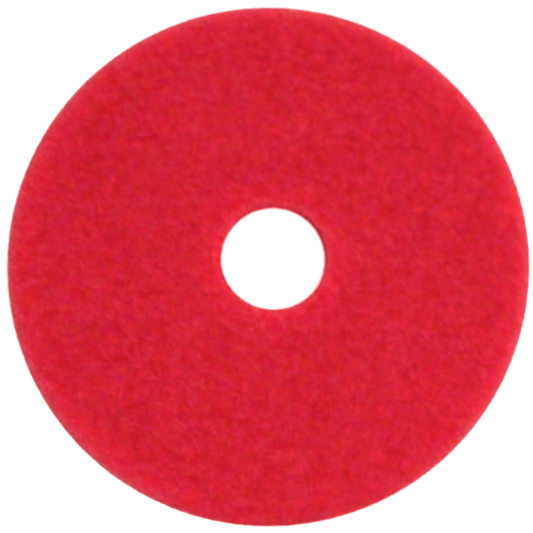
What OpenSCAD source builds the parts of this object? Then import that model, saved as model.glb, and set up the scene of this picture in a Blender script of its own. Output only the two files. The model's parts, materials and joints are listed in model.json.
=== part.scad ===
// Round non-woven buffing pad for a rotary floor machine: one die-cut disc of
// bonded crimped fibre with a round centre hole. It is reversible: either flat
// face can take the pad driver while the other runs on the floor.
//
// Frame: the origin is the centre of the hole, on the floor-side face.
// +Z runs along the hole's axis, from the floor side towards the driver side.

/* [Pad] */
// Outside diameter of the pad, across the cut rim
pad_diameter = 406.4; // [254:25.4:711.2]
// Thickness of the fibre web, face to face, at rest
pad_thickness = 25.4; // [12.7:0.1:38.1]

/* [Centre hole] */
// Diameter of the punched hole that takes the driver's centre lock
hole_diameter = 82.55; // [50.8:0.05:101.6]

/* [Cut edges] */
// Radius left on the rim's edges where the die has pinched the web
rim_rounding = 2.5; // [0.5:0.1:5]
// Radius left on the hole's edges by the punch
hole_rounding = 1.5; // [0.5:0.1:4]

/* [Finish] */
// Colour of the bonded fibre
pad_colour = "crimson"; // [crimson, firebrick, white, dodgerblue, seagreen, saddlebrown, black]

/* [Hidden] */
$fn = 180;
pad_radius = pad_diameter / 2;
hole_radius = hole_diameter / 2;

// One cut edge of the section: a straight wall with a round at each face.
// into_web is the way from the wall into the fibre: 1 is outward, -1 inward.
module cut_edge(wall_radius, into_web, rounding) {
    centre_radius = wall_radius + into_web * rounding;
    // The wall strip is as wide as the rounds, so it overlaps the middle.
    translate([centre_radius - rounding, rounding])
        square([2 * rounding, pad_thickness - 2 * rounding]);
    for (z = [rounding, pad_thickness - rounding])
        translate([centre_radius, z])
            circle(r = rounding);
}

// Section of the web from the hole's wall to the rim: x is radius, y is height.
module web_section() {
    middle_start = hole_radius + hole_rounding;
    middle_end = pad_radius - rim_rounding;
    // Full-height middle
    translate([middle_start, 0])
        square([middle_end - middle_start, pad_thickness]);
    cut_edge(hole_radius, into_web = 1, rounding = hole_rounding);
    cut_edge(pad_radius, into_web = -1, rounding = rim_rounding);
}

// The pad: the section turned once about the hole's axis.
module floor_pad() {
    color(pad_colour)
        rotate_extrude(convexity = 4)
            web_section();
}

floor_pad();
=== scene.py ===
"""Looks for the round non-woven floor pad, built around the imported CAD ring.

The pad is modelled as what it is: a lofty web of crimped, resin-bonded fibres, die-cut to a disc with a
punched hole. The plain CAD ring gives every size. The web's dense inside is one closed, lumpy shell, and
the open outer millimetres are real strands: fibre layers on both faces, cut fibres round the rim and
round the hole's wall, with binder beads scattered among them.
"""

import json
import math

import bpy
import numpy as np
from mathutils import Matrix, Vector


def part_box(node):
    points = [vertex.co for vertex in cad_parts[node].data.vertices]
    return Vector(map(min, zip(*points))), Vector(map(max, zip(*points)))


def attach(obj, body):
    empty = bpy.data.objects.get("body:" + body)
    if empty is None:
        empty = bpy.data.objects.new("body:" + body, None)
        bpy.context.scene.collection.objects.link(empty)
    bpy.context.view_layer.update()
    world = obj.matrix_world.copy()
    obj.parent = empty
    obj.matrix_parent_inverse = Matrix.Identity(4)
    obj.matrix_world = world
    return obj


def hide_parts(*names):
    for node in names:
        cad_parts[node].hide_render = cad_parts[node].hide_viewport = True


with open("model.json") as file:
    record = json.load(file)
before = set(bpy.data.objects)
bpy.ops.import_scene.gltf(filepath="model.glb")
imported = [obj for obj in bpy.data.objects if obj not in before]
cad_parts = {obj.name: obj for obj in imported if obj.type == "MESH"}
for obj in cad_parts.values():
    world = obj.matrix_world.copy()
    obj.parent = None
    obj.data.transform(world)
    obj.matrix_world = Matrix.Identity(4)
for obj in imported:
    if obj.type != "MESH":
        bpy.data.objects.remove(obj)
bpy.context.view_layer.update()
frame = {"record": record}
LO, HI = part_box("floor_pad")
HOLE = next(m for m in frame["record"]["mounts"] if m["name"] == "centre_hole")

# Everything below is in millimetres until a mesh is made.
R = (HI.x - LO.x) / 2 * 1000.0  # rim
T = (HI.z - LO.z) * 1000.0  # thickness
Z0 = LO.z * 1000.0
RH = HOLE["dims"]["r_mm"]  # hole wall
TAU = 2 * math.pi

FRAY = 0.65  # how far cut fibres stand into the hole
FIBRE_D = 0.42  # strand diameter
STEP = 1.5  # spacing of the points along a strand
# How far in from each cut edge the faces start to roll down, how far down they are at the cut, and how
# sharply they turn.
ROLL_RIM, ROLL_HOLE = (12.0, 1.8, 2.6), (9.0, 0.85, 1.8)
ROLL_BACK = 0.6  # the floor side rolls less


# ---------------------------------------------------------------- noise
def band_noise(shape, spacing, shortest, longest, seed, tilt=1.0):
    """Periodic random field with unit deviation, holding wavelengths between the two given."""
    rng = np.random.default_rng(seed)
    spectrum = np.fft.rfftn(rng.standard_normal(shape).astype(np.float32))
    axes = [np.fft.fftfreq(n, s) for n, s in zip(shape[:-1], spacing[:-1])]
    axes.append(np.fft.rfftfreq(shape[-1], spacing[-1]))
    k = np.sqrt(sum(a**2 for a in np.meshgrid(*axes, indexing="ij")))
    lo, hi = 1.0 / longest, 1.0 / shortest
    gain = np.exp(-((k / hi) ** 4)) * (1 - np.exp(-((k / lo) ** 4)))
    gain = gain / np.maximum(k, lo) ** tilt
    out = np.fft.irfftn(spectrum * gain, shape)
    return (out / out.std()).astype(np.float32)


class Field3:
    """A periodic random field in space, read at any point."""

    def __init__(self, cell, shortest, longest, seed, squeeze_z=1.0, tilt=1.0):
        self.cell = np.array([cell, cell, cell * 0.8])
        n = int(math.ceil((2 * R + 12) / cell))
        nz = int(math.ceil((T + 14) / self.cell[2]))
        self.n = np.array([n, n, nz])
        self.origin = np.array([-R - 6, -R - 6, Z0 - 7])
        self.v = band_noise(
            (n, n, nz),
            (cell, cell, self.cell[2] * squeeze_z),
            shortest,
            longest,
            seed,
            tilt,
        )

    def __call__(self, p):
        q = (p - self.origin) / self.cell
        i = np.floor(q).astype(int)
        f = (q - i).astype(np.float32)
        out = np.zeros(len(p), np.float32)
        for dx in (0, 1):
            for dy in (0, 1):
                for dz in (0, 1):
                    w = (
                        (f[:, 0] if dx else 1 - f[:, 0])
                        * (f[:, 1] if dy else 1 - f[:, 1])
                        * (f[:, 2] if dz else 1 - f[:, 2])
                    )
                    j = (i + (dx, dy, dz)) % self.n
                    out += w * self.v[j[:, 0], j[:, 1], j[:, 2]]
        return out


# ---------------------------------------------------------------- shape of the web
def roll(rho, top):
    """How far a face has rolled down at radius rho, near the rim and near the hole."""
    out = np.zeros_like(rho)
    for edge, side, (width, height, turn) in ((R, 1.0, ROLL_RIM), (RH, -1.0, ROLL_HOLE)):
        e = np.clip((edge - rho) * side, 0, width) / width
        out = np.maximum(out, height * (1 - e) ** turn)
    return out if top else out * ROLL_BACK


def face_z(rho, top):
    if top:
        return Z0 + T - roll(rho, True)
    return Z0 + roll(rho, False)


LUMPS = Field3(1.7, 5.0, 14.0, 11, squeeze_z=2.2, tilt=0.5)


def lumps(pts):
    """Slow rise and fall of the web's surface, the same for the shell and the strands over it."""
    return np.clip(LUMPS(pts.reshape(-1, 3)).reshape(pts.shape[:-1]), -2, 2)


def new_mesh(name, verts_mm, faces, sizes=None, smooth=True):
    """Mesh object from arrays. faces is (n, k), or a flat list of corners with sizes."""
    me = bpy.data.meshes.new(name)
    verts = np.asarray(verts_mm, np.float32) / 1000.0
    if sizes is None:
        sizes = np.full(len(faces), faces.shape[1], np.int32)
        flat = np.asarray(faces, np.int32).ravel()
    else:
        flat = np.asarray(faces, np.int32)
    me.vertices.add(len(verts))
    me.vertices.foreach_set("co", verts.ravel())
    me.loops.add(len(flat))
    me.loops.foreach_set("vertex_index", flat)
    me.polygons.add(len(sizes))
    starts = np.concatenate(([0], np.cumsum(sizes)[:-1])).astype(np.int32)
    me.polygons.foreach_set("loop_start", starts)
    if smooth:
        me.polygons.foreach_set("use_smooth", np.ones(len(sizes), bool))
    me.update(calc_edges=True)
    ob = bpy.data.objects.new(name, me)
    bpy.context.scene.collection.objects.link(ob)
    return ob


# ---------------------------------------------------------------- the web's dense inside
CORE_IN = 0.85  # how far the dense shell sits inside the rim
CORE_IN_HOLE = 0.75
CORE_DOWN = 0.95  # and below the faces


LIFT = 0.035  # height of that rise and fall


def core():
    n_phi, n_rad = 480, 74
    rc, rh, zb, zt = R - CORE_IN, RH + CORE_IN_HOLE, Z0 + CORE_DOWN, Z0 + T - CORE_DOWN
    corner = 1.3
    loop = []  # (rho, z, normal rho, normal z), counter-clockwise seen with rho to the right and z up

    def arc(cx, cz, a0, a1, n):
        for t in np.linspace(a0, a1, n + 1)[1:-1]:
            loop.append((cx + corner * math.cos(t), cz + corner * math.sin(t), math.cos(t), math.sin(t)))

    rho_face = np.linspace(rh + corner, rc - corner, n_rad)

    def lowered(rho, top):
        return float(roll(np.array([rho]), top)[0])

    for rho in rho_face:
        loop.append((rho, zb + lowered(rho, False), 0.0, -1.0))
    z_lo = zb + lowered(rc - corner, False)
    z_hi = zt - lowered(rc - corner, True)
    arc(rc - corner, z_lo + corner, -math.pi / 2, 0, 3)
    for z in np.linspace(z_lo + corner, z_hi - corner, 10):
        loop.append((rc, z, 1.0, 0.0))
    arc(rc - corner, z_hi - corner, 0, math.pi / 2, 3)
    for rho in rho_face[::-1]:
        loop.append((rho, zt - lowered(rho, True), 0.0, 1.0))
    z_lo = zb + lowered(rh + corner, False)
    z_hi = zt - lowered(rh + corner, True)
    arc(rh + corner, z_hi - corner, math.pi / 2, math.pi, 3)
    for z in np.linspace(z_hi - corner, z_lo + corner, 10):
        loop.append((rh, z, -1.0, 0.0))
    arc(rh + corner, z_lo + corner, math.pi, 1.5 * math.pi, 3)
    loop = np.array(loop)
    m = len(loop)
    phi = np.linspace(0, TAU, n_phi, endpoint=False)
    P, L = np.meshgrid(phi, np.arange(m), indexing="ij")
    rho, z = loop[L, 0], loop[L, 1]
    nr, nz = loop[L, 2], loop[L, 3]
    pts = np.stack([rho * np.cos(P), rho * np.sin(P), z], -1).reshape(-1, 3)
    nrm = np.stack([nr * np.cos(P), nr * np.sin(P), nz], -1).reshape(-1, 3)
    slow = lumps(pts)
    grain = Field3(1.1, 2.2, 5.0, 12, squeeze_z=2.0, tilt=0.3)(pts)
    wall = np.abs(nrm[:, 2]) < 0.5
    push = np.where(wall, 0.08 * slow + 0.14 * grain, LIFT * slow + 0.09 * grain)
    push = np.clip(push, -0.9, 0.55)
    pts = pts + nrm * push[:, None]
    pts[:, 2] = np.clip(pts[:, 2], Z0 + 0.15, Z0 + T - 0.1)
    i = np.arange(n_phi)
    j = np.arange(m)
    I, J = np.meshgrid(i, j, indexing="ij")
    a = (I * m + J).ravel()
    b = (((I + 1) % n_phi) * m + J).ravel()
    c = (((I + 1) % n_phi) * m + (J + 1) % m).ravel()
    d = (I * m + (J + 1) % m).ravel()
    return new_mesh("web_core", pts, np.stack([a, b, c, d], -1))


# ---------------------------------------------------------------- strands
def tubes(name, pts, valid, up, diameter, sides=3, seed=0, wide=1.0, high=1.0):
    """Closed tubes along runs of valid points. pts is (strands, points, 3), up the rough surface normal at each."""
    n, k, _ = pts.shape
    seg = valid[:, :-1] & valid[:, 1:]
    # drop runs of a single segment
    before = np.zeros_like(seg)
    before[:, 1:] = seg[:, :-1]
    after = np.zeros_like(seg)
    after[:, :-1] = seg[:, 1:]
    seg = seg & (before | after)
    used = np.zeros((n, k), bool)
    used[:, :-1] |= seg
    used[:, 1:] |= seg
    tan = np.zeros_like(pts)
    tan[:, 1:-1] = pts[:, 2:] - pts[:, :-2]
    tan[:, 0] = pts[:, 1] - pts[:, 0]
    tan[:, -1] = pts[:, -1] - pts[:, -2]
    tan /= np.linalg.norm(tan, axis=-1, keepdims=True)
    side = np.cross(up, tan)
    side /= np.maximum(np.linalg.norm(side, axis=-1, keepdims=True), 1e-6)
    over = np.cross(tan, side)
    rng = np.random.default_rng(seed)
    twist = rng.uniform(0, TAU, (n, 1, 1))
    radius = (np.asarray(diameter) / 2).reshape(n, 1, 1) * np.ones((n, k, 1))
    number = -np.ones((n, k), np.int64)
    number[used] = np.arange(used.sum())
    rings = []
    for s in range(sides):
        a = twist + TAU * s / sides
        rings.append(
            (pts + radius * (wide * np.cos(a) * side + high * np.sin(a) * over))[used]
        )
    verts = np.stack(rings, 1).reshape(-1, 3)
    a = number[:, :-1][seg] * sides
    b = number[:, 1:][seg] * sides
    quads = []
    for s in range(sides):
        t = (s + 1) % sides
        quads.append(np.stack([a + s, a + t, b + t, b + s], -1))
    quads = np.concatenate(quads)
    first = seg & ~np.pad(seg, ((0, 0), (1, 0)))[:, :-1]
    last = seg & ~np.pad(seg, ((0, 0), (0, 1)))[:, 1:]
    a0 = number[:, :-1][first] * sides
    b0 = number[:, 1:][last] * sides
    cap_a = np.stack([a0 + s for s in reversed(range(sides))], -1)
    cap_b = np.stack([b0 + s for s in range(sides)], -1)
    caps = np.concatenate([cap_a, cap_b])
    flat = np.concatenate([quads.ravel(), caps.ravel()])
    sizes = np.concatenate(
        [np.full(len(quads), 4, np.int32), np.full(len(caps), sides, np.int32)]
    )
    return new_mesh(name, verts, flat, sizes)


def crimped(rng, n, k, bend=0.02, crimp=0.42):
    """Heading offset of each strand at each point, from a slow bend and two crimps."""
    s = np.arange(k) * STEP
    w = lambda lo, hi: rng.uniform(lo, hi, (n, 1))
    ph = lambda: rng.uniform(0, TAU, (n, 1))
    return (
        rng.normal(0, bend, (n, 1)) * s
        + rng.normal(0, crimp, (n, 1)) * np.sin(TAU * s / w(9, 17) + ph())
        + rng.normal(0, crimp * 0.8, (n, 1)) * np.sin(TAU * s / w(4.2, 7.5) + ph())
    )


def wander(rng, n, k, slow, quick):
    s = np.arange(k) * STEP
    w = lambda lo, hi: rng.uniform(lo, hi, (n, 1))
    ph = lambda: rng.uniform(0, TAU, (n, 1))
    return slow * np.sin(TAU * s / w(12, 26) + ph()) + quick * np.sin(
        TAU * s / w(5.0, 9.0) + ph()
    )


def die_cut(xy, inner, outer, keep):
    """Strands cut off at two radii: the first point past a cut moves back onto it."""
    radius = np.linalg.norm(xy, axis=-1)
    inside = (radius < outer) & (radius > inner) & keep
    beside = np.zeros_like(inside)
    beside[:, 1:] |= inside[:, :-1]
    beside[:, :-1] |= inside[:, 1:]
    snap = beside & ~inside & keep
    target = np.where(radius >= outer, outer, inner) + 0 * radius
    xy = np.where(snap[..., None], xy * (target / radius)[..., None], xy)
    return xy, inside | snap


def face_strands(name, top, count, depth, seed):
    """A layer of strands lying in a face, depth below it on average."""
    rng = np.random.default_rng(seed)
    k = 30
    # An even lay, as carded web has, with each strand a few millimetres off its place.
    place = (np.arange(count) + 0.5) / count
    rho = np.sqrt((RH - 6) ** 2 + ((R + 6) ** 2 - (RH - 6) ** 2) * place) + rng.normal(0, 4, count)
    phi = np.arange(count) * 2.399963 + seed + rng.normal(0, 4, count) / np.maximum(rho, 30)
    heading = rng.uniform(0, TAU, (count, 1)) + crimped(rng, count, k)
    step = np.stack([np.cos(heading), np.sin(heading)], -1) * STEP
    xy = np.cumsum(step, 1)
    xy += np.stack([rho * np.cos(phi), rho * np.sin(phi)], -1)[:, None, :] - xy[
        :, k // 2 : k // 2 + 1
    ]
    radius = np.linalg.norm(xy, axis=-1)
    lift = wander(rng, count, k, 0.2, 0.13) - depth + rng.normal(0, 0.1, (count, 1))
    sign = 1.0 if top else -1.0
    flat_z = face_z(radius, top)
    lift = lift + LIFT * lumps(np.concatenate([xy, flat_z[..., None]], -1))
    lift = np.clip(lift, -1.9, 0.12 if top else -0.26)
    z = flat_z + sign * lift
    # cut length, and the die's cut at the rim and the hole with a little fray
    length = rng.uniform(0.45, 1.0, (count, 1)) * k
    at = np.arange(k)[None, :]
    within = np.abs(at - k / 2) < length / 2
    fray = rng.exponential(0.12, (count, 1))
    xy, inside = die_cut(xy, RH - FRAY + fray, R - 0.05 - fray, within)
    pts = np.concatenate([xy, z[..., None]], -1)
    # strands turn down over the rolled edge, as they follow the face
    up = np.zeros_like(pts)
    up[..., 2] = sign
    d = FIBRE_D * rng.uniform(0.8, 1.2, count)
    # The faces are pressed, so strands in them lie a little flat.
    return tubes(name, pts, inside, up, d, seed=seed + 1, wide=1.25, high=0.62)


def wall_strands(name, edge, outward, depth, count, seed):
    """Strands of the web where the die cut it: some run along the wall, some end in it."""
    rng = np.random.default_rng(seed)
    k = 22
    phi = rng.uniform(0, TAU, count)
    rho = edge - outward * rng.uniform(0, depth, count)
    low, high = Z0 + 0.5, Z0 + T - 0.5
    # along the wall for most of the visible strands, and any way for the rest
    along = phi[:, None] + math.pi / 2 + rng.normal(0, 0.35, (count, 1))
    anyway = rng.uniform(0, TAU, (count, 1))
    heading0 = np.where(rng.uniform(size=(count, 1)) < 0.55, along, anyway)
    heading = heading0 + crimped(rng, count, k, crimp=0.5)
    if edge < 60:  # strands that run along a tight wall turn with it
        heading += np.where(
            rng.uniform(size=(count, 1)) < 0.5,
            (np.arange(k) - k / 2)[None, :] * STEP / edge,
            0,
        )
    step = np.stack([np.cos(heading), np.sin(heading)], -1) * STEP
    xy = np.cumsum(step, 1)
    xy += np.stack([rho * np.cos(phi), rho * np.sin(phi)], -1)[:, None, :] - xy[
        :, k // 2 : k // 2 + 1
    ]
    radius = np.linalg.norm(xy, axis=-1)
    # Half of them near the two edges, where the cut web is densest.
    level = rng.uniform(size=(count, 1))
    where = rng.uniform(size=(count, 1))
    level = np.where(where < 0.3, 1 - 0.14 * level, np.where(where > 0.8, 0.14 * level, level))
    z = (
        low + (high - low) * level
        + wander(rng, count, k, 0.45, 0.3)
        + rng.normal(0, 0.09, (count, 1)) * (np.arange(k) - k / 2)[None, :] * STEP
    )
    fray = rng.exponential(0.07, (count, 1)) + 0.1
    hi_z = face_z(radius, True) - 0.15
    lo_z = face_z(radius, False) + 0.15
    keep = (z < hi_z) & (z > lo_z)
    if outward > 0:
        xy, inside = die_cut(xy, edge - depth - 0.4, edge - fray, keep)
    else:
        xy, inside = die_cut(xy, edge - FRAY + fray, edge + depth + 0.4, keep)
    pts = np.concatenate([xy, z[..., None]], -1)
    up = np.zeros_like(pts)
    up[..., 2] = 1.0
    d = FIBRE_D * rng.uniform(0.8, 1.2, count)
    return tubes(name, pts, inside, up, d, seed=seed + 1)


def beads(name, count, seed):
    """Binder beads, small flattened drops scattered at random among the strands of both faces and both walls."""
    rng = np.random.default_rng(seed)
    import bmesh

    bm = bmesh.new()
    bmesh.ops.create_icosphere(bm, subdivisions=1, radius=1.0)
    unit = np.array([v.co for v in bm.verts])
    tris = np.array([[v.index for v in f.verts] for f in bm.faces])
    bm.free()
    where = rng.uniform(size=count)
    rho = np.sqrt(rng.uniform((RH + 1.5) ** 2, (R - 1.5) ** 2, count))
    z = np.where(
        where < 0.5,
        face_z(rho, True) - rng.uniform(0.1, 0.8, count),
        face_z(rho, False) + rng.uniform(0.45, 1.0, count),
    )
    on_rim = where > 0.86
    on_hole = where > 0.975
    rho = np.where(on_rim, R - rng.uniform(0.6, 1.8, count), rho)
    rho = np.where(on_hole, RH + rng.uniform(0.5, 1.5, count), rho)
    z = np.where(on_rim, rng.uniform(Z0 + 2, Z0 + T - 2.6, count), z)
    phi = rng.uniform(0, TAU, count)
    centre = np.stack([rho * np.cos(phi), rho * np.sin(phi), z], -1)
    size = rng.uniform(0.22, 0.42, count)
    turn = rng.uniform(0, TAU, count)
    stretch = np.stack(
        [size * rng.uniform(0.9, 1.5, count), size, size * rng.uniform(0.6, 0.9, count)], -1
    )
    v = unit[None] * stretch[:, None, :]
    c, s = np.cos(turn)[:, None], np.sin(turn)[:, None]
    v = np.stack([v[..., 0] * c - v[..., 1] * s, v[..., 0] * s + v[..., 1] * c, v[..., 2]], -1)
    v = v + centre[:, None, :]
    f = tris[None] + (np.arange(count) * len(unit))[:, None, None]
    return new_mesh(name, v.reshape(-1, 3), f.reshape(-1, 3))


# ---------------------------------------------------------------- materials
def red_web(name, depth, rough, bumpy, pale=None, bead=False):
    """Procedural red bonded fibre. depth mixes in a darker red, painted shade where strands lie deeper; pale, if
    given, turns down the painted highlight at the cut edges; bumpy is for the dense shell.
    """
    m = bpy.data.materials.new(name)
    m.use_nodes = True
    nt = m.node_tree
    nt.nodes.clear()
    N, L = nt.nodes.new, nt.links.new
    out = N("ShaderNodeOutputMaterial")
    p = N("ShaderNodeBsdfPrincipled")
    L(p.outputs[0], out.inputs[0])
    co = N("ShaderNodeTexCoord")

    def noise(scale, detail, rough_, distortion=0.0, vec=None):
        t = N("ShaderNodeTexNoise")
        t.inputs["Scale"].default_value = scale
        t.inputs["Detail"].default_value = detail
        t.inputs["Roughness"].default_value = rough_
        t.inputs["Distortion"].default_value = distortion
        L(vec or co.outputs["Object"], t.inputs["Vector"])
        return t.outputs["Fac"]

    def math_(op, a, b=None, clamp=False):
        t = N("ShaderNodeMath")
        t.operation = op
        t.use_clamp = clamp
        for i, x in enumerate((a, b)):
            if x is None:
                continue
            if isinstance(x, (int, float)):
                t.inputs[i].default_value = x
            else:
                L(x, t.inputs[i])
        return t.outputs[0]

    def mix(fac, a, b):
        t = N("ShaderNodeMix")
        t.data_type = "RGBA"
        if isinstance(fac, (int, float)):
            t.inputs[0].default_value = fac
        else:
            L(fac, t.inputs[0])
        for i, x in ((6, a), (7, b)):
            if isinstance(x, tuple):
                t.inputs[i].default_value = (*x, 1)
            else:
                L(x, t.inputs[i])
        return t.outputs[2]

    def times(a, b):
        t = N("ShaderNodeMix")
        t.data_type = "RGBA"
        t.blend_type = "MULTIPLY"
        t.inputs[0].default_value = 1.0
        L(a, t.inputs[6])
        L(b, t.inputs[7])
        return t.outputs[2]

    def moved(by):
        t = N("ShaderNodeVectorMath")
        t.operation = "ADD"
        t.inputs[1].default_value = (by, by * 0.7, -by)
        L(co.outputs["Object"], t.inputs[0])
        return t.outputs[0]

    def ramp(x, lo, hi):
        t = N("ShaderNodeMapRange")
        t.inputs["From Min"].default_value = lo
        t.inputs["From Max"].default_value = hi
        L(x, t.inputs["Value"])
        return t.outputs["Result"]

    def smooth(x, lo, hi):
        t = N("ShaderNodeMapRange")
        t.interpolation_type = "SMOOTHSTEP"
        t.inputs["From Min"].default_value = lo
        t.inputs["From Max"].default_value = hi
        L(x, t.inputs["Value"])
        return t.outputs["Result"]

    def cloud(c, fac, by):
        """Each channel of c a fraction by[i] lower or higher, as fac goes from 0 to 1."""
        return times(c, mix(fac, tuple(1.0 - x for x in by), tuple(1.0 + x for x in by)))

    # The dye takes unevenly: where there's less of it the red is lighter and pinker, and the shade also
    # drifts towards orange and towards crimson on its own.
    f1 = ramp(noise(122, 2, 0.75), 0.32, 0.68)
    f2 = ramp(noise(135, 2, 0.75, vec=moved(7.3)), 0.32, 0.68)
    f5 = ramp(noise(122, 2, 0.75, vec=moved(11.9)), 0.32, 0.68)
    base = N("ShaderNodeRGB")
    base.outputs[0].default_value = (*RED, 1)
    c = cloud(base.outputs[0], f1, (0.080, 0.40, 0.44))
    c = cloud(c, f2, (0.0, 0.37, -0.17))
    c = cloud(c, f5, (0.0, 0.0, 0.54))
    f3 = ramp(noise(520, 1, 0.5), 0.3, 0.7)  # strand to strand
    c = cloud(c, f3, FINE)
    f4 = ramp(noise(13, 1, 0.5, vec=moved(3.1)), 0.3, 0.7)  # from one part of the web to the next
    c = cloud(c, f4, (0.03, 0.07, 0.07))
    f6 = ramp(noise(50, 1, 0.5, vec=moved(5.7)), 0.3, 0.7)
    c = cloud(c, f6, (0.022, 0.11, 0.105))
    # Cut fibre ends scatter more light, so the colour is a little paler and brighter near the rim and the hole. Part
    # of this is painted highlight: the light that the cut edges catch.
    sep = N("ShaderNodeSeparateXYZ")
    L(co.outputs["Object"], sep.inputs[0])
    r2 = math_(
        "SQRT",
        math_(
            "ADD",
            math_("MULTIPLY", sep.outputs[0], sep.outputs[0]),
            math_("MULTIPLY", sep.outputs[1], sep.outputs[1]),
        ),
    )
    near = math_("MAXIMUM", smooth(r2, (R - 30) / 1000, (R - 3) / 1000), smooth(r2, (RH + 30) / 1000, (RH + 3) / 1000))
    lip = smooth(r2, (RH + 9) / 1000, (RH + 2) / 1000)
    # One stretch of the rim, towards -Y, isn't paler in the reference. It may be the light, not the dye. It is turned
    # from the key light, so the painted highlight of the paler edges is left off there.
    toward = math_("ADD", math_("MULTIPLY", sep.outputs[0], AWAY_FROM_KEY[0]), math_("MULTIPLY", sep.outputs[1], AWAY_FROM_KEY[1]))
    toward = math_("DIVIDE", toward, math_("MAXIMUM", r2, 0.001))
    rim_in_shade = smooth(toward, 0.76, 0.997)
    rim_in_shade = math_("MULTIPLY", rim_in_shade, smooth(r2, (R - 50) / 1000, (R - 30) / 1000))
    lit_side = math_("SUBTRACT", 1.0, math_("MULTIPLY", rim_in_shade, 0.88))
    near = math_("MULTIPLY", near, lit_side)
    c = times(c, mix(near, (1.0, 1.0, 1.0), EDGE_LIFT))
    # Painted highlight: just round the hole the face is made brighter and redder, where its rolled lip catches the
    # light.
    c = times(c, mix(lip, (1.0, 1.0, 1.0), HOLE_LIFT))
    # Painted highlight: towards the rim and the hole the colour is mixed towards a paler pink, the sheen of strands
    # tilted over the rolled edges, and less of it on the rim's stretch turned from the key.
    e_rim = ramp(r2, (R - 13) / 1000, R / 1000)
    e_hole = ramp(r2, (RH + 8) / 1000, RH / 1000)
    e_hole = math_("MULTIPLY", e_hole, 0.79)
    edge = math_("POWER", math_("MAXIMUM", e_rim, e_hole), 2.0)
    edge = math_("MULTIPLY", edge, lit_side)
    c = mix(math_("MULTIPLY", edge, PALE if pale is None else pale), c, RED_PALE)
    # Paler, greyer pink at the very cut ends: partly the cut fibres, partly painted highlight where the edges face the
    # key, so at the hole only on its -Y side and on the rim not on its stretch turned from the key. Near the faces
    # only: the middle of the wall keeps the web's red.
    level = math_("ABSOLUTE", math_("SUBTRACT", sep.outputs[2], (Z0 + T / 2) / 1000))
    by_face = smooth(level, (T / 2 - 7) / 1000, (T / 2 - 4) / 1000)
    ends = math_(
        "MAXIMUM",
        math_("MULTIPLY", math_("MULTIPLY", ramp(r2, (R - 4) / 1000, (R - 0.4) / 1000), by_face), ENDS[0]),
        math_(
            "MULTIPLY",
            math_("MULTIPLY", ramp(r2, (RH + 3) / 1000, (RH + 0.4) / 1000), smooth(toward, -0.5, 0.4)),
            ENDS[1] if pale is None else 0.0,
        ),
    )
    c = mix(math_("MULTIPLY", ends, lit_side), c, RED_ENDS)
    # Painted shade: deeper strands and the shell are darkened towards a darker red, where less light reaches them.
    if depth:
        c = mix(depth, c, RED_PAINTED_SHADE)
    L(c, p.inputs["Base Color"])
    p.inputs["Roughness"].default_value = rough
    p.inputs["Specular IOR Level"].default_value = 0.45 if bead else SPEC
    if SSS and not bead:
        p.inputs["Subsurface Weight"].default_value = SSS
        p.inputs["Subsurface Radius"].default_value = (0.45, 0.25, 0.3)
        p.inputs["Subsurface Scale"].default_value = 0.0009
    if bumpy:
        # Felted strands too fine to model, as streaks in three directions.
        streaks = None
        for turn in (0.3, 1.35, 2.4):
            mp = N("ShaderNodeMapping")
            mp.inputs["Rotation"].default_value = (0.0, 0.0, turn)
            mp.inputs["Scale"].default_value = (1.0, 5.0, 3.0)
            L(co.outputs["Object"], mp.inputs["Vector"])
            s = noise(330, 2, 0.6, 0.5, vec=mp.outputs[0])
            streaks = s if streaks is None else math_("MAXIMUM", streaks, s)
        b = N("ShaderNodeBump")
        b.inputs["Strength"].default_value = 0.5
        b.inputs["Distance"].default_value = 0.0006
        L(streaks, b.inputs["Height"])
        L(b.outputs[0], p.inputs["Normal"])
        L(ramp_out(N, L, streaks, 0.35, 0.75, rough + 0.08, rough - 0.12), p.inputs["Roughness"])
    return m


def ramp_out(N, L, x, lo, hi, a, b):
    t = N("ShaderNodeMapRange")
    t.inputs["From Min"].default_value = lo
    t.inputs["From Max"].default_value = hi
    t.inputs["To Min"].default_value = a
    t.inputs["To Max"].default_value = b
    L(x, t.inputs["Value"])
    return t.outputs["Result"]


RED = (0.707, 0.0145, 0.0344)
# The paler pink of the painted highlight at the cut edges.
RED_PALE = (0.93, 0.119, 0.182)
# The darker red of painted shade, for deeper strands, the shell and the walls.
RED_PAINTED_SHADE = (0.50, 0.0085, 0.0200)
RED_ENDS = (0.60, 0.22, 0.25)  # the very ends, where the die went through; partly painted highlight where they face the key
ENDS = (0.42, 0.26)  # how much of that at the rim and at the hole
# Direction in which the rim is turned from the key light and gets little of the painted edge highlight.
AWAY_FROM_KEY = (math.cos(math.radians(-84)), math.sin(math.radians(-84)))
SSS = 0.6
FINE = (0.0, 0.08, 0.2)
# PALE sets the strength of the painted highlight at the cut edges.
PALE, SPEC = 0.66, 0.04
# The painted highlight on the lip round the hole.
HOLE_LIFT = (1.09, 0.98, 0.98)
EDGE_LIFT = (1.16, 1.18, 1.24)  # the web is looser near its cut edges, and scatters more light; partly painted highlight, the light the edges catch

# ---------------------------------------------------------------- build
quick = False
share = 0.5 if quick else 1.0

pieces = []


def add(ob, mat):
    ob.data.materials.append(mat)
    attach(ob, "root")
    pieces.append(ob)
    return ob


# The second argument mixes in painted shade: most on the shell under the strands, some on the wall strands, a touch on
# the deep face strands. pale turns down the painted edge highlight on the shell and the walls.
mat_core = red_web("bonded_web_inside", 0.54, 0.88, True, pale=0.3)
mat_deep = red_web("strands_deep", 0.05, 0.8, False)
mat_wall = red_web("wall_strands_deep", 0.3, 0.8, False, pale=0.12)
mat_mid = red_web("strands_mid", 0.0, 0.78, False)
mat_out = red_web("strands_outer", 0.0, 0.75, False)
mat_cut = red_web("wall_strands_outer", 0.2, 0.8, False, pale=0.2)
mat_bead = red_web("binder_beads", 0.0, 0.42, False, bead=True)

the_core = add(core(), mat_core)
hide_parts("floor_pad")

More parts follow.
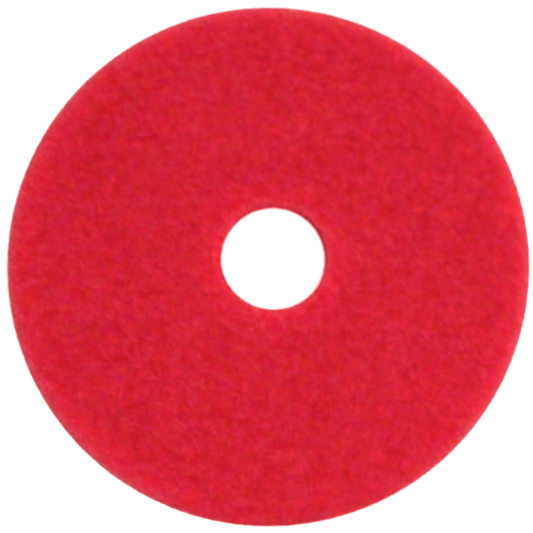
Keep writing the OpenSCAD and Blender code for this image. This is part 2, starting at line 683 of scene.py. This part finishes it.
n = int(1640 * share)
add(face_strands("driver_face_strands_deep", True, n, 0.72, 101), mat_deep)
add(face_strands("driver_face_strands_low", True, n, 0.6, 102), mat_deep)
add(face_strands("driver_face_strands_mid", True, n, 0.48, 103), mat_mid)
add(face_strands("driver_face_strands_upper", True, n, 0.37, 104), mat_mid)
add(face_strands("driver_face_strands_outer", True, n, 0.27, 105), mat_out)
add(face_strands("floor_face_strands_deep", False, n, 0.72, 111), mat_deep)
add(face_strands("floor_face_strands_low", False, n, 0.6, 112), mat_mid)
add(face_strands("floor_face_strands_mid", False, n, 0.48, 113), mat_mid)
add(face_strands("floor_face_strands_outer", False, n, 0.38, 114), mat_out)
add(wall_strands("rim_strands_deep", R, 1.0, 1.7, int(4500 * share), 121), mat_wall)
add(wall_strands("rim_strands_low", R, 1.0, 1.7, int(4500 * share), 123), mat_wall)
add(wall_strands("rim_strands_upper", R, 1.0, 1.1, int(5500 * share), 124), mat_cut)
add(wall_strands("rim_strands_outer", R, 1.0, 1.1, int(5500 * share), 122), mat_cut)
add(wall_strands("hole_strands_deep", RH, -1.0, 1.5, int(2200 * share), 131), mat_wall)
add(wall_strands("hole_strands_outer", RH, -1.0, 1.0, int(2600 * share), 132), mat_cut)
add(beads("binder_beads", int(5200 * share), 141), mat_bead)

# ---------------------------------------------------------------- floor, light, camera
floor_me = bpy.data.meshes.new("studio_floor")
s = 8.0
floor_me.from_pydata(
    [(-s, -s, 0), (s, -s, 0), (s, s, 0), (-s, s, 0)], [], [(0, 1, 2, 3)]
)
floor = bpy.data.objects.new("studio_floor", floor_me)
bpy.context.scene.collection.objects.link(floor)
floor.location.z = (Z0 - 0.3) / 1000
fm = bpy.data.materials.new("studio_floor")
fm.use_nodes = True
fb = fm.node_tree.nodes["Principled BSDF"]
fb.inputs["Base Color"].default_value = (0.85, 0.85, 0.85, 1)
fb.inputs["Roughness"].default_value = 0.9
fb.inputs["Specular IOR Level"].default_value = 0.1
# Overexposed white, as in product shots, so that no shadow is left on it. Less of it reaches the pad.
fb.inputs["Emission Color"].default_value = (1, 1, 1, 1)
seen = fm.node_tree.nodes.new("ShaderNodeLightPath")
glow = fm.node_tree.nodes.new("ShaderNodeMapRange")
glow.inputs["To Min"].default_value = 0.52
glow.inputs["To Max"].default_value = 1.0
fm.node_tree.links.new(seen.outputs["Is Camera Ray"], glow.inputs["Value"])
fm.node_tree.links.new(glow.outputs["Result"], fb.inputs["Emission Strength"])
# From below, the floor is left out, so that the pad's other face can be looked at.
clear = fm.node_tree.nodes.new("ShaderNodeBsdfTransparent")
facing = fm.node_tree.nodes.new("ShaderNodeNewGeometry")
pick = fm.node_tree.nodes.new("ShaderNodeMixShader")
fm.node_tree.links.new(facing.outputs["Backfacing"], pick.inputs[0])
fm.node_tree.links.new(fb.outputs[0], pick.inputs[1])
fm.node_tree.links.new(clear.outputs[0], pick.inputs[2])
fm.node_tree.links.new(pick.outputs[0], fm.node_tree.nodes["Material Output"].inputs[0])
floor_me.materials.append(fm)

world = bpy.data.worlds.new("studio")
bpy.context.scene.world = world
world.use_nodes = True
bg = world.node_tree.nodes["Background"]
bg.inputs[0].default_value = (1, 1, 1, 1)
# White to look at, and a softer light than that on the pad.
sky = world.node_tree.nodes.new("ShaderNodeLightPath")
level = world.node_tree.nodes.new("ShaderNodeMapRange")
level.inputs["To Min"].default_value = 0.449
level.inputs["To Max"].default_value = 1.0
world.node_tree.links.new(sky.outputs["Is Camera Ray"], level.inputs["Value"])
world.node_tree.links.new(level.outputs["Result"], bg.inputs[1])


def area(name, location, size, power, target=(0, 0, 0.01)):
    d = bpy.data.lights.new(name, "AREA")
    d.shape = "SQUARE"
    d.size = size
    d.energy = power
    o = bpy.data.objects.new(name, d)
    o.location = location
    o.rotation_mode = "QUATERNION"
    o.rotation_quaternion = (Vector(target) - Vector(location)).to_track_quat("-Z", "Y")
    bpy.context.scene.collection.objects.link(o)
    return o


area("key", (3.09, 5.57, 3.7), 4.6, 695)
area("fill", (0.65, -0.93, 1.25), 1.0, 18.3)

cam_data = bpy.data.cameras.new("photo_camera")
cam = bpy.data.objects.new("photo_camera", cam_data)
bpy.context.scene.collection.objects.link(cam)
bpy.context.scene.camera = cam
CAM_POS = Vector((-19.656, -89.418, 800.0)) / 1000
CAM_TGT = Vector((44.05, 31.966, T + Z0)) / 1000
CAM_ROLL = -0.014
CAM_F = 1003.1  # focal length in pixels of a 533-pixel frame
CAM_C = (330.08, 215.27)  # where the lens axis meets the frame, right and down
fwd = (CAM_TGT - CAM_POS).normalized()
right0 = fwd.cross(Vector((0, 1, 0))).normalized()
up0 = right0.cross(fwd)
right = right0 * math.cos(CAM_ROLL) + up0 * math.sin(CAM_ROLL)
up = -right0 * math.sin(CAM_ROLL) + up0 * math.cos(CAM_ROLL)
rot = Matrix((right, up, -fwd)).transposed()
cam.rotation_mode = "QUATERNION"
cam.rotation_quaternion = rot.to_quaternion()
cam.location = CAM_POS
cam_data.sensor_width = 36.0
cam_data.lens = 36.0 * CAM_F / 533.0
cam_data.clip_start, cam_data.clip_end = 0.01, 200


def only_here(path, amount, elsewhere=0.0):
    """A camera setting for the photo's viewpoint alone: other views of the part are aimed straight at it from further off."""
    curve = cam_data.driver_add(path)
    curve.driver.type = "SUM"
    var = curve.driver.variables.new()
    var.type = "LOC_DIFF"
    var.targets[0].id = cam
    var.targets[1].id = floor
    for m in list(curve.modifiers):
        curve.modifiers.remove(m)
    away = (CAM_POS - floor.location).length
    keys = ((-0.06, elsewhere), (-0.03, amount), (0.03, amount), (0.06, elsewhere))
    for x, y in keys:
        curve.keyframe_points.insert(away + x, y).interpolation = "LINEAR"


# The photo is cropped off its lens axis, and a little soft.
only_here("shift_x", (266.5 - CAM_C[0]) / 533)
only_here("shift_y", (CAM_C[1] - 266.5) / 533)
cam_data.dof.use_dof = True
cam_data.dof.focus_distance = 0.6
only_here("dof.aperture_fstop", 6.7, 128.0)

bpy.context.scene.view_settings.view_transform = "Standard"
bpy.context.scene.view_settings.look = "None"
